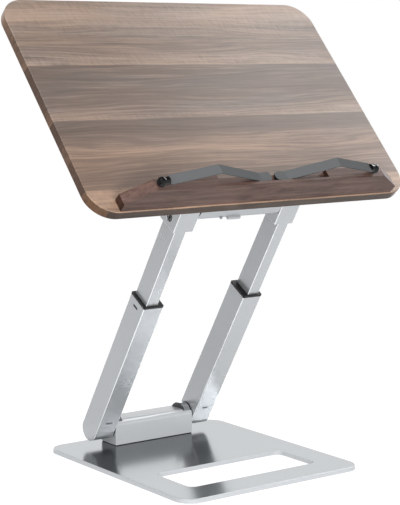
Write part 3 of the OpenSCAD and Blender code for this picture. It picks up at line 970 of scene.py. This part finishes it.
@dataclass
class Base:
    """Base plate with its pads, and the lower hinge on it."""

    plate_edge: Easing = Easing(0.5 * MM, sharpest=30.0)
    # Cosines to the vertical of the rim faces that get the painted highlight.
    plate_highlight_faces: tuple[float, float] = (0.0, 0.95)
    washer_split: float = 43.0 * MM
    screw_key: Recess = Recess(Drive.HEX, 2.5 * MM, 1.6 * MM)

    def build(self, shop: Shop) -> None:
        """Makes the pieces that show."""
        plate = shop.eased("base_plate", BASE_METAL, self.plate_edge)
        # Painted highlight on the plate's rim.
        shop.paint(plate, BASE_HIGHLIGHT_PAINT, between(UP, *self.plate_highlight_faces))
        block = shop.eased("base_block", BLOCK_METAL, BLOCK_EDGE)
        # Painted highlight on the block's rounded corners.
        shop.paint(block, LEG_HIGHLIGHT_PAINT, between(ACROSS, *HIGHLIGHT_CORNERS))
        for side in SIDES:
            shop.eased(f"lower_drum_{side}", TURNED_STEEL, DRUM_EDGE)
        washers = shop.eased("lower_washers", BLACK_PLASTIC, FINE_EDGE)
        shop.paint(washers, WASHER_STEEL, lambda face: abs(face.center.x) < self.washer_split)
        shop.eased("base_pads", BLACK_RUBBER, SMALL_EDGE)
        shop.eased("base_screws", PLAIN_STEEL, FINE_EDGE, recess=self.screw_key)

    def dress(self, shop: Shop) -> None:
        """Gives the solids that stay their finishes."""
        shop.dress("block_seat", BLACK_RUBBER)
        shop.dress("lower_shaft", PLAIN_STEEL)


@dataclass
class Legs:
    """Outer tubes, collars, inner tubes and upper brackets of both legs."""

    tube_edge: Easing = Easing(0.35 * MM)
    # Radius of the near-black disc painted as shade on the bolt heads.
    socket: float = 1.6 * MM
    slot_rise: float = 159.3 * MM
    slot_size: tuple[float, float] = (7.2 * MM, 2 * MM)

    def build(self, shop: Shop) -> None:
        """Makes the pieces that show."""
        for side in SIDES:
            for part in ("outer_tube", "inner_tube", "upper_bracket"):
                tube = shop.eased(f"{part}_{side}", LEG_METAL, self.tube_edge)
                # Painted highlight on the tubes' rounded corners.
                shop.paint(tube, LEG_HIGHLIGHT_PAINT, between(ACROSS, *HIGHLIGHT_CORNERS))
                if part == "outer_tube":
                    # Painted shade: the slot's walls and rim get black paint.
                    shop.paint(tube, BLACK_PLASTIC, self._shaded_slot_faces)
            shop.eased(f"collar_{side}", BLACK_PLASTIC, BLOCK_EDGE)
        bolts = shop.eased("bracket_bolts", PLAIN_STEEL, SMALL_EDGE)
        low, high = (Vector(corner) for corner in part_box("bracket_bolts"))
        axis = (low + high).yz / 2
        # Painted shade: a near-black disc on each bolt head where its socket would be dark.
        shop.paint(bolts, PAINTED_SHADE_STEEL, lambda face: (face.center.yz - axis).length < self.socket)

    def _shaded_slot_faces(self, face: bpy.types.MeshPolygon) -> bool:
        """Whether a tube's face is a wall or the rim of the snap slot below its collar, painted black as shade in
        the slot.

        Args:
            face: The face.

        Returns:
            True for the small faces around the slot.
        """
        back = Matrix.Rotation(-Lay.LEG.turn(), 3, "X")
        place = back @ (face.center - Lay.LEG.origin())
        rim = 2 * self.tube_edge.width
        across, along = (size / 2 + rim for size in self.slot_size)
        near = abs(place.y) < across and abs(place.z - self.slot_rise) < along
        return near and face.area < self.slot_size[0] * self.slot_size[1]

    def dress(self, shop: Shop) -> None:
        """Gives the solids that stay their finishes."""
        for side in SIDES:
            shop.dress(f"foot_core_{side}", GREY_CORE)
            shop.dress(f"guide_shoe_{side}", BLACK_PLASTIC)
            shop.dress(f"brake_button_{side}", BLACK_PLASTIC)


@dataclass
class Panel:
    """Reading panel with its ledge, and the upper hinge behind it."""

    board_edge: Easing = Easing(2.8 * MM, 6, 30.0)
    ledge_edge: Easing = Easing(0.8 * MM, 3)
    mount_edge: Easing = Easing(0.4 * MM)
    cross: Recess = Recess(Drive.CROSS, 2.0 * MM, 1.0 * MM)
    stop_key: Recess = Recess(Drive.HEX, 0.8 * MM, 0.8 * MM)
    side_faces: tuple[float, float] = (0.0, 0.4)
    # The next two pick the faces that get the darker edge band as painted shade.
    shaded_back_rim: tuple[float, float] = (-0.95, -0.1)
    shaded_lower_faces: float = -0.9
    end_faces: tuple[float, float] = (0.9, 1.0)

    def build(self, shop: Shop) -> None:
        """Makes the pieces that show."""
        self._board(shop)
        ledge = shop.eased("ledge", LEDGE_VENEER, self.ledge_edge)
        shop.paint(ledge, END_GRAIN, between(ACROSS, *self.end_faces))
        shop.eased("tilt_block", TILT_SHADED_METAL, BLOCK_EDGE)
        shop.eased("mount_plate", TILT_SHADED_METAL, self.mount_edge)
        for side in SIDES:
            shop.eased(f"upper_drum_{side}", TURNED_STEEL, DRUM_EDGE)
            shop.eased(f"clip_bush_{side}", BLACK_PLASTIC, SMALL_EDGE)
        shop.eased("upper_washers", BLACK_PLASTIC, FINE_EDGE)
        shop.eased("tilt_stop", TILT_SHADED_METAL, BLOCK_EDGE)
        for node in ("ledge_screws", "mount_screws"):
            shop.eased(node, PLAIN_STEEL, FINE_EDGE, recess=self.cross)
        shop.eased("tilt_stop_screw", PLAIN_STEEL, FINE_EDGE, recess=self.stop_key)

    def _board(self, shop: Shop) -> None:
        """Makes the board, with bands of edge wood around it, the back rim and lower faces darkened as painted
        shade.
        """
        board = shop.eased("reading_panel", PANEL_VENEER, self.board_edge)
        out = Vector(JOINTS["right_clip_swing"]["axis"])
        rise = out.cross(ACROSS)
        least, most = self.shaded_back_rim
        shop.paint(board, SIDE_BAND, between(out, *self.side_faces))
        # Painted shade: the back rim and the lower faces get the darker edge band.
        shop.paint(board, SHADED_EDGE_BAND, lambda face: least < face.normal.dot(out) < most)
        shop.paint(board, SHADED_EDGE_BAND, lambda face: face.normal.dot(rise) < self.shaded_lower_faces)

    def dress(self, shop: Shop) -> None:
        """Gives the solids that stay their finishes."""
        for node in ("tilt_screws", "upper_shaft"):
            shop.dress(node, PLAIN_STEEL)


@dataclass
class PageClip:
    """One page clip with the ball on its end."""

    side: str
    fold: float = 12.0
    # Cosines to the panel's normal of the strip's edge faces that get painted shade.
    shaded_strip_sides: tuple[float, float] = (0.0, 0.45)

    def build(self, shop: Shop) -> None:
        """Makes the pieces that show."""
        strip = shop.eased(f"clip_strip_{self.side}", CLIP_COAT, SMALL_EDGE, self.fold)
        out = Vector(JOINTS["right_clip_swing"]["axis"])
        # Painted shade: the strip's edge faces get near-black paint.
        shop.paint(strip, PAINTED_SHADE_STEEL, between(out, *self.shaded_strip_sides))

    def dress(self, shop: Shop) -> None:
        """Gives the solids that stay their finishes."""
        shop.dress(f"clip_ball_{self.side}", BALL_GLOSS)


@dataclass(frozen=True)
class SoftBox:
    """One soft light, in metres and watts, that either shows in gloss or lights the rest."""

    name: str
    place: tuple[float, float, float]
    aim: tuple[float, float, float]
    size: tuple[float, float]
    power: float
    mirrored: bool = False


@dataclass(frozen=True)
class Glow:
    """A bright part of the room: its direction, where it starts, where it is full and how bright."""

    facing: tuple[float, float, float]
    start: float
    full: float
    strength: float
    is_wall: bool = True


PANEL_FRONT = (0.0, -0.06, 0.34)
BLOCK_FRONT = (0.0, 0.08, 0.03)
SOFT_BOXES = (
    SoftBox("top_box", (0.475, 0.03, 0.85), (0.475, 0.03, 0.0), (0.25, 0.56), 2.05, mirrored=True),
    SoftBox("side_box", (0.95, -0.10, 0.85), (0.95, -0.10, 0.0), (0.36, 0.40), 6.0, mirrored=True),
    SoftBox("left_lamp", (-0.90, -0.30, 0.75), PANEL_FRONT, (0.8, 0.8), 5.0),
    SoftBox("front_box", (-0.55, -1.35, 1.15), PANEL_FRONT, (1.0, 0.8), 8.0),
    SoftBox("low_box", (-0.30, -1.30, 0.18), BLOCK_FRONT, (0.9, 0.32), 11.0),
)
BEHIND = Glow((0.59, 0.81, 0.0), 0.2, 0.9, 1.85)
LEFT = Glow((-0.59, 0.81, 0.0), 0.3, 0.95, 0.26)
FRONT = Glow((0.59, -0.81, 0.0), 0.3, 0.95, 0.25)
READER = Glow((-0.3, -0.95, 0.0), 0.35, 0.95, 0.45)
OVER_LEFT = Glow((-0.59, -0.24, 0.77), 0.84, 0.97, 0.8, is_wall=False)


@dataclass
class Studio:
    """Floor, lights and camera."""

    eye: Vector
    yaw: float
    pitch: float
    focal_pixels: float
    image: ClassVar[tuple[int, int]] = (400, 505)
    sensor: float = 36.0
    sight: float = 50.0
    floor_radius: float = 0.62
    floor_corners: int = 96
    floor_centre: ClassVar[Vector] = Vector((0.25, -0.30, 0.0))
    floor_glow: float = 0.9
    floor_mirrored: float = 0.72
    floor_tint: float = 0.2
    floor_roughness: float = 0.9
    room: float = 0.22
    wall_top: tuple[float, float] = (0.25, 0.7)

    def camera(self) -> None:
        """Sets the camera where the stand was seen from."""
        data = bpy.data.cameras.new("camera")
        data.sensor_width = self.sensor
        data.lens = self.focal_pixels * self.sensor / max(self.image)
        data.clip_end = self.sight
        camera = bpy.data.objects.new("camera", data)
        yaw, pitch = math.radians(self.yaw), math.radians(self.pitch)
        level = Vector((math.sin(yaw), math.cos(yaw), 0.0))
        ahead = level * math.cos(pitch) - UP * math.sin(pitch)
        camera.location = self.eye
        camera.rotation_euler = ahead.to_track_quat("-Z", "Y").to_euler()
        bpy.context.scene.collection.objects.link(camera)
        bpy.context.scene.camera = camera

    def floor(self) -> None:
        """Lays a plain pale floor that glows a little, as a lit table does."""
        mesh = bmesh.new()
        place = Matrix.Translation(self.floor_centre)
        bmesh.ops.create_circle(
            mesh, cap_ends=True, segments=self.floor_corners, radius=self.floor_radius, matrix=place
        )
        data = bpy.data.meshes.new("floor")
        mesh.to_mesh(data)
        mesh.free()
        bench = Bench("pale_floor")
        seen = bench.value("ShaderNodeLightPath", {}, {}, "Is Camera Ray")
        pale = bench.surface(
            Base_Color=(self.floor_tint,) * 3,
            Roughness=self.floor_roughness,
            Emission_Color=bench.mix(seen, (self.floor_mirrored,) * 3, (self.floor_glow,) * 3),
            Emission_Strength=1.0,
        )
        data.materials.append(pale)
        floor = bpy.data.objects.new("floor", data)
        bpy.context.scene.collection.objects.link(floor)

    def lamp(self, box: SoftBox) -> None:
        """Hangs one soft box.

        Args:
            box: The light. A mirrored one shows only in gloss, any other lights only the rest.
        """
        data = bpy.data.lights.new(box.name, "AREA")
        data.shape = "RECTANGLE"
        data.size, data.size_y = box.size
        data.energy = box.power
        lamp = bpy.data.objects.new(box.name, data)
        lamp.location = box.place
        ahead = Vector(box.aim) - Vector(box.place)
        lamp.rotation_euler = ahead.to_track_quat("-Z", "Y").to_euler()
        lamp.visible_glossy = box.mirrored
        lamp.visible_diffuse = not box.mirrored
        bpy.context.scene.collection.objects.link(lamp)

    def sky(self) -> None:
        """Fills the room with soft light: low walls on four sides, and a soft box over the left."""
        bench = Bench.for_world("studio_room")
        x, y, z = bench.parts(bench.value("ShaderNodeTexCoord", {}, {}, "Generated"))
        low = 1.0 - z.above(*self.wall_top)
        light = self.room
        for glow in (BEHIND, LEFT, FRONT, OVER_LEFT, READER):
            along = x * glow.facing[0] + y * glow.facing[1] + z * glow.facing[2]
            share = along.above(glow.start, glow.full) * glow.strength
            light = light + (share * low if glow.is_wall else share)
        seen = bench.value("ShaderNodeLightPath", {}, {}, "Is Camera Ray")
        shade = bench.join(light, light, light)
        bench.feed(bench.shader.inputs["Color"], bench.mix(seen, shade, (1.0, 1.0, 1.0)))

    def build(self) -> None:
        """Sets up the whole studio."""
        self.camera()
        self.floor()
        self.sky()
        for box in SOFT_BOXES:
            self.lamp(box)
        bpy.context.scene.view_settings.view_transform = "Standard"


def main() -> None:
    """Builds the studio and every sub-assembly in order."""
    logging.basicConfig(level=logging.INFO, format="%(name)s: %(message)s")
    eye = Vector((-0.90265, -1.23107, 0.40575))
    Studio(eye, yaw=36.206, pitch=7.4255, focal_pixels=1586.0).build()
    shop = Shop()
    for assembly in (Base(), Legs(), Panel(), PageClip("left"), PageClip("right")):
        assembly.build(shop)
        assembly.dress(shop)
        LOG.info("%s is done", type(assembly).__name__)


if __name__ == "__main__":
    main()
